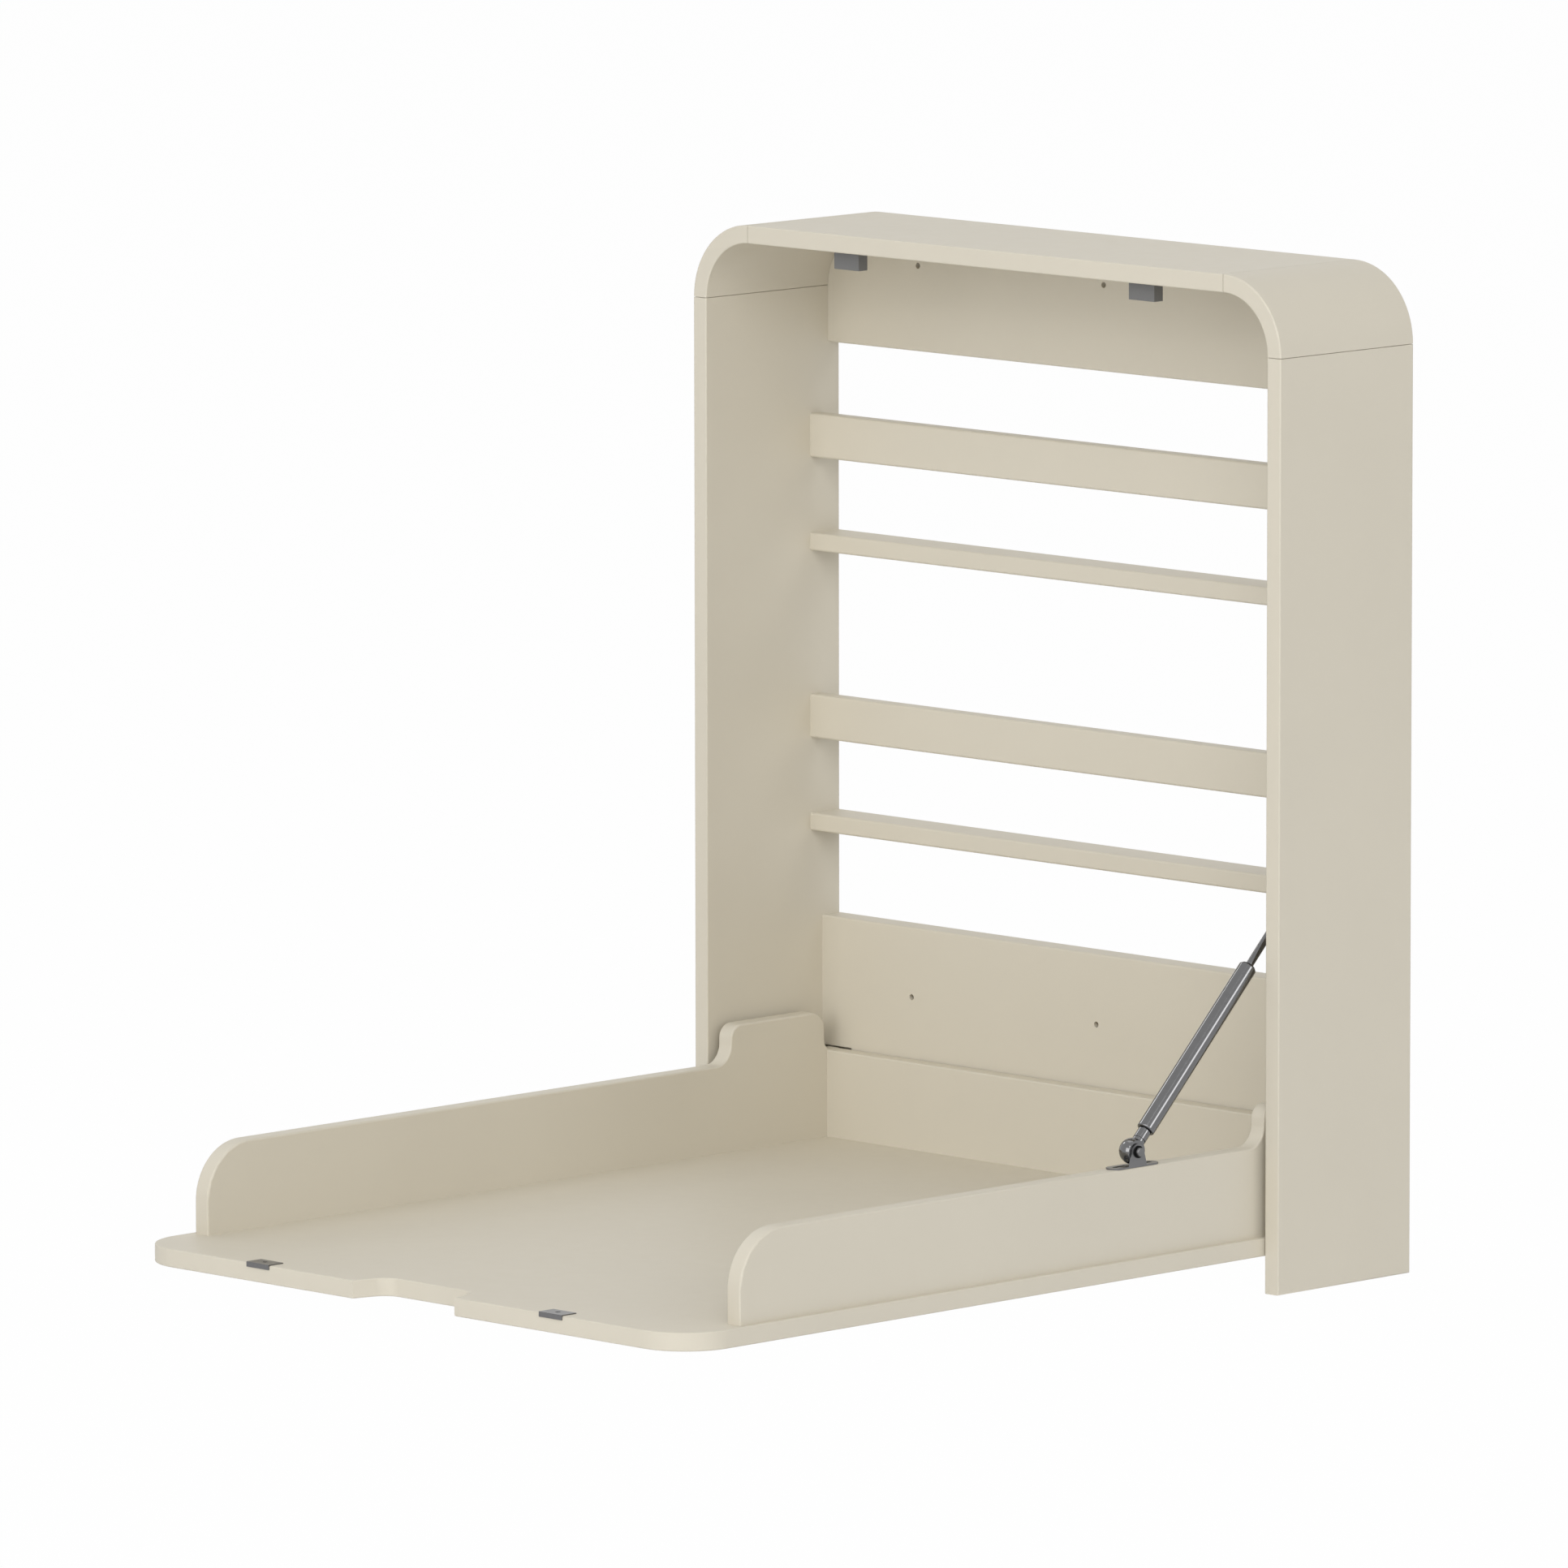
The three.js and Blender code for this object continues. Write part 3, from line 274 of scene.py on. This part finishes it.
def smoothing_group():
    """Joined facets that shade smooth, apart from edges sharper than a set angle."""
    group = bpy.data.node_groups.new("soft_shading", "GeometryNodeTree")
    group.interface.new_socket("Geometry", in_out="INPUT", socket_type="NodeSocketGeometry")
    group.interface.new_socket("Geometry", in_out="OUTPUT", socket_type="NodeSocketGeometry")
    add = group.nodes.new
    start = add("NodeGroupInput")
    end = add("NodeGroupOutput")
    weld = add("GeometryNodeMergeByDistance")
    weld.inputs["Distance"].default_value = WELD_DISTANCE
    smooth = add("GeometryNodeSetShadeSmooth")
    smooth.domain = "FACE"
    angle = add("GeometryNodeInputMeshEdgeAngle")
    sharp = add("FunctionNodeCompare")
    sharp.data_type = "FLOAT"
    sharp.operation = "GREATER_THAN"
    sharp.inputs["B"].default_value = math.radians(CREASE_ANGLE)
    crease = add("GeometryNodeSetShadeSmooth")
    crease.domain = "EDGE"
    crease.inputs["Shade Smooth"].default_value = False
    link = group.links.new
    link(start.outputs["Geometry"], weld.inputs["Geometry"])
    link(weld.outputs["Geometry"], smooth.inputs["Geometry"])
    link(smooth.outputs["Geometry"], crease.inputs["Geometry"])
    link(angle.outputs["Unsigned Angle"], sharp.inputs["A"])
    link(sharp.outputs["Result"], crease.inputs["Selection"])
    link(crease.outputs["Geometry"], end.inputs["Geometry"])
    return group


def soften(piece, group):
    """Smooth shading that keeps the flat faces flat."""
    smoothing = piece.modifiers.new("soft_shading", "NODES")
    smoothing.node_group = group
    weighted = piece.modifiers.new("flat_faces", "WEIGHTED_NORMAL")
    weighted.keep_sharp = True
    weighted.weight = FLAT_FACE_WEIGHT


def paint(piece, material):
    piece.data.materials.clear()
    piece.data.materials.append(material)


def new_piece(name, mesh_data, body, replaced):
    mesh = bpy.data.meshes.new(name)
    mesh_data.to_mesh(mesh)
    mesh_data.free()
    piece = bpy.data.objects.new(name, mesh)
    bpy.context.scene.collection.objects.link(piece)
    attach(piece, body)
    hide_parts(replaced)
    return piece


def turned(profile, matrix):
    """A solid of revolution from [radius, distance] pairs that start and end on the axis."""
    solid = bmesh.new()
    rings = []
    for radius, distance in profile:
        if radius == 0.0:
            rings.append([solid.verts.new(matrix @ Vector((0.0, 0.0, distance)))])
            continue
        ring = []
        for step in range(TURN_STEPS):
            angle = 2.0 * math.pi * step / TURN_STEPS
            point = Vector((radius * math.cos(angle), radius * math.sin(angle), distance))
            ring.append(solid.verts.new(matrix @ point))
        rings.append(ring)
    for lower, upper in zip(rings, rings[1:]):
        for step in range(TURN_STEPS):
            after = (step + 1) % TURN_STEPS
            corners = [lower[step % len(lower)], lower[after % len(lower)]]
            corners += [upper[after % len(upper)], upper[step % len(upper)]]
            solid.faces.new(list(dict.fromkeys(corners)))
    bmesh.ops.recalc_face_normals(solid, faces=solid.faces)
    return solid


def arc(centre, radius, start, end, steps):
    """Points of [radius, distance] along an arc, with angles in degrees from straight outwards."""
    points = []
    for step in range(steps + 1):
        angle = math.radians(start + (end - start) * step / steps)
        out = centre[0] + radius * math.cos(angle)
        points.append((out, centre[1] + radius * math.sin(angle)))
    return points


def strut_matrix():
    """The strut's own frame: its origin at the ball's centre and +Z along the strut."""
    joints = {joint["name"]: joint for joint in frame["joints"]}
    along = Vector(joints["rod_slide"]["axis"]).normalized()
    across = Vector((1.0, 0.0, 0.0))
    side = along.cross(across)
    turn = Matrix((across, side, along)).transposed().to_4x4()
    return Matrix.Translation(joints["strut_swing"]["pos_m"]) @ turn


def strut_ball():
    """A polished ball with a flat towards its bracket, and its neck."""
    neck_start = math.sqrt(BALL_RADIUS**2 - NECK_RADIUS**2)
    neck_angle = math.degrees(math.asin(neck_start / BALL_RADIUS))
    profile = [(0.0, -BALL_RADIUS)]
    profile += arc((0.0, 0.0), BALL_RADIUS, BALL_FIRST_ANGLE, neck_angle, BALL_STEPS)
    floor = NECK_RADIUS - GROOVE_DEPTH
    for start in NECK_GROOVES:
        end = start + GROOVE_WIDTH
        profile += [(NECK_RADIUS, start), (floor, start), (floor, end), (NECK_RADIUS, end)]
    profile += [(NECK_RADIUS, NECK_END), (0.0, NECK_END)]
    matrix = strut_matrix()
    ball = turned(profile, matrix)
    flat_place = matrix @ Vector((BALL_FLAT, 0.0, 0.0))
    everything = ball.verts[:] + ball.edges[:] + ball.faces[:]
    cut = bmesh.ops.bisect_plane(
        ball, geom=everything, plane_co=flat_place, plane_no=(1.0, 0.0, 0.0), clear_outer=True
    )
    rim = [item for item in cut["geom_cut"] if isinstance(item, bmesh.types.BMEdge)]
    bmesh.ops.holes_fill(ball, edges=rim)
    return ball


def strut_cylinder():
    """A drawn tube with rolled ends."""
    tube = CYLINDER
    roll = tube["roll"]
    inside = tube["radius"] - roll
    profile = [(0.0, tube["start"])]
    profile += arc((inside, tube["start"] + roll), roll, -90.0, 0.0, ROLL_STEPS)
    profile += arc((inside, tube["end"] - roll), roll, 0.0, 90.0, ROLL_STEPS)
    mouth_floor = tube["end"] - 2.0 * roll
    profile += [(tube["mouth"] - roll, tube["end"]), (tube["mouth"] - roll, mouth_floor)]
    profile += [(0.0, mouth_floor)]
    return turned(profile, strut_matrix())


def screw_frame(node):
    """A small screw's own frame, with +Z out of its head, its head's radius and its length."""
    low, high = (Vector(corner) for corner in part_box(node))
    centre = (low + high) / 2.0
    span = high - low
    if "guide" in node:
        top, facing = Vector((low.x, centre.y, centre.z)), Vector((-1.0, 0.0, 0.0))
        radius, length = span.y / 2.0, span.x
    else:
        top, facing = Vector((centre.x, centre.y, high.z)), Vector((0.0, 0.0, 1.0))
        radius, length = span.x / 2.0, span.z
    turn = facing.to_track_quat("Z", "Y").to_matrix().to_4x4()
    return Matrix.Translation(top) @ turn, radius, length


def screw_head(node):
    """A flat screw that is ready for its cross recess."""
    matrix, radius, length = screw_frame(node)
    ease = SCREW_EASE * radius
    shank = SCREW_SHANK * radius
    profile = [(0.0, -length), (shank, -length), (shank, -SCREW_HEAD), (radius, -SCREW_HEAD)]
    profile += [(radius, -ease), (radius - ease, 0.0), (0.0, 0.0)]
    return turned(profile, matrix)


def cross_cutter(node):
    """The cross that is sunk into a screw's head."""
    matrix, radius, _ = screw_frame(node)
    reach = RECESS_REACH * radius
    half = RECESS_HALF_WIDTH * radius
    arm = [(half, half), (half, reach), (-half, reach)]
    outline = []
    for _ in range(4):
        outline += arm
        arm = [(-y, x) for x, y in arm]
    cutter = bmesh.new()
    floor = [cutter.verts.new(matrix @ Vector((x, y, -RECESS_DEPTH))) for x, y in outline]
    roof = [cutter.verts.new(matrix @ Vector((x, y, RECESS_DEPTH))) for x, y in outline]
    cutter.faces.new(floor)
    cutter.faces.new(list(reversed(roof)))
    for step, corner in enumerate(floor):
        after = (step + 1) % len(floor)
        cutter.faces.new([corner, roof[step], roof[after], floor[after]])
    bmesh.ops.recalc_face_normals(cutter, faces=cutter.faces)
    mesh = bpy.data.meshes.new(node + "_cross")
    cutter.to_mesh(mesh)
    cutter.free()
    return mesh


def sink_cross(piece, node):
    """Cuts the cross into the head and leaves no cutter behind."""
    cutter = bpy.data.objects.new(node + "_cross", cross_cutter(node))
    bpy.context.scene.collection.objects.link(cutter)
    boolean = piece.modifiers.new("cross", "BOOLEAN")
    boolean.operation = "DIFFERENCE"
    boolean.object = cutter
    bpy.context.view_layer.update()
    depsgraph = bpy.context.evaluated_depsgraph_get()
    cut = bpy.data.meshes.new_from_object(piece.evaluated_get(depsgraph))
    piece.modifiers.remove(boolean)
    piece.data = cut
    bpy.data.objects.remove(cutter)


def dress_strut(materials, group):
    ball = new_piece("strut_ball_polished", strut_ball(), "strut", "strut_ball_eye")
    tube = new_piece("strut_tube_polished", strut_cylinder(), "strut", "strut_cylinder")
    for piece in (ball, tube):
        paint(piece, materials["chrome"])
        soften(piece, group)


def dress_screws(materials, group):
    bodies = frame["record"]["behaviour"]["bodies"]
    for body, members in bodies.items():
        for node in members:
            if node.endswith("_screw"):
                piece = new_piece(node + "_crosshead", screw_head(node), body, node)
                sink_cross(piece, node)
                paint(piece, materials["steel"])
                soften(piece, group)


def dress_nodes(materials, group):
    slots = {part["node"]: part["material_slot"] for part in frame["record"]["subparts"]}
    for name, node in nodes.items():
        paint(node, materials[slots[name]])
        soften(node, group)


def white_to_the_eye(tree):
    """1 for rays from the camera, from gloss and through glass, otherwise 0."""
    path = tree.nodes.new("ShaderNodeLightPath")
    total = path.outputs["Is Camera Ray"]
    for name in ("Is Glossy Ray", "Is Transmission Ray"):
        both = tree.nodes.new("ShaderNodeMath")
        both.operation = "MAXIMUM"
        tree.links.new(total, both.inputs[0])
        tree.links.new(path.outputs[name], both.inputs[1])
        total = both.outputs["Value"]
    return total


def make_world():
    world = bpy.data.worlds.new("white_room")
    world.use_nodes = True
    tree = world.node_tree
    tree.nodes.clear()
    room = tree.nodes.new("ShaderNodeBackground")
    room.inputs["Strength"].default_value = ROOM_LEVEL
    seen = tree.nodes.new("ShaderNodeBackground")
    for background in (room, seen):
        background.inputs["Color"].default_value = (1.0, 1.0, 1.0, 1.0)
    choose = tree.nodes.new("ShaderNodeMixShader")
    output = tree.nodes.new("ShaderNodeOutputWorld")
    tree.links.new(white_to_the_eye(tree), choose.inputs["Fac"])
    tree.links.new(room.outputs["Background"], choose.inputs[1])
    tree.links.new(seen.outputs["Background"], choose.inputs[2])
    tree.links.new(choose.outputs["Shader"], output.inputs["Surface"])
    bpy.context.scene.world = world


def floor_material():
    """Matt white that keeps a faint shadow where the camera sees it."""
    material = bpy.data.materials.new("floor_white")
    material.use_nodes = True
    tree = material.node_tree
    tree.nodes.clear()
    matt = tree.nodes.new("ShaderNodeBsdfDiffuse")
    matt.inputs["Color"].default_value = (FLOOR_WHITE, FLOOR_WHITE, FLOOR_WHITE, 1.0)
    glow = tree.nodes.new("ShaderNodeEmission")
    glow.inputs["Strength"].default_value = 1.0
    faint = tree.nodes.new("ShaderNodeMath")
    faint.operation = "MULTIPLY"
    faint.inputs[1].default_value = FLOOR_GLOW
    choose = tree.nodes.new("ShaderNodeMixShader")
    output = tree.nodes.new("ShaderNodeOutputMaterial")
    tree.links.new(white_to_the_eye(tree), faint.inputs[0])
    tree.links.new(faint.outputs["Value"], choose.inputs["Fac"])
    tree.links.new(matt.outputs["BSDF"], choose.inputs[1])
    tree.links.new(glow.outputs["Emission"], choose.inputs[2])
    tree.links.new(choose.outputs["Shader"], output.inputs["Surface"])
    return material


def make_floor():
    half = FLOOR_SIZE / 2.0
    level = cad_box[0][2] - FLOOR_DROP
    signs = [(-1, -1), (1, -1), (1, 1), (-1, 1)]
    corners = [(x * half, y * half, level) for x, y in signs]
    mesh = bpy.data.meshes.new("floor")
    mesh.from_pydata(corners, [], [(0, 1, 2, 3)])
    floor = bpy.data.objects.new("floor", mesh)
    bpy.context.scene.collection.objects.link(floor)
    paint(floor, floor_material())


def make_lights():
    for name, box in SOFT_BOXES.items():
        place = LIGHT_TARGET + BOX_DISTANCE * Vector(box["towards"]).normalized()
        lamp = bpy.data.lights.new(name, "AREA")
        lamp.shape = "SQUARE"
        lamp.size = box["size"]
        lamp.energy = box["level"] * (math.pi * BOX_DISTANCE) ** 2
        light = bpy.data.objects.new(name, lamp)
        light.location = place
        light.rotation_euler = (LIGHT_TARGET - place).to_track_quat("-Z", "Y").to_euler()
        bpy.context.scene.collection.objects.link(light)


def make_camera():
    yaw, pitch, roll = (math.radians(v) for v in (CAMERA_YAW, CAMERA_PITCH, CAMERA_ROLL))
    reach = math.cos(pitch)
    ahead = Vector((-math.sin(yaw) * reach, math.cos(yaw) * reach, -math.sin(pitch)))
    level_right = Vector((math.cos(yaw), math.sin(yaw), 0.0))
    level_up = level_right.cross(ahead)
    right = level_right * math.cos(roll) + level_up * math.sin(roll)
    up = right.cross(ahead)
    lens = bpy.data.cameras.new("camera")
    lens.lens = CAMERA_LENS
    lens.sensor_width = SENSOR_WIDTH
    lens.clip_end = CAMERA_FAR
    camera = bpy.data.objects.new("camera", lens)
    turn = Matrix((right, up, -ahead)).transposed().to_4x4()
    camera.matrix_world = Matrix.Translation(CAMERA_PLACE) @ turn
    bpy.context.scene.collection.objects.link(camera)
    bpy.context.scene.camera = camera


make_camera()
make_world()
make_lights()
make_floor()
bpy.context.scene.view_settings.view_transform = "Standard"
finishes = make_materials()
soft_shading = smoothing_group()
dress_nodes(finishes, soft_shading)
dress_strut(finishes, soft_shading)
dress_screws(finishes, soft_shading)
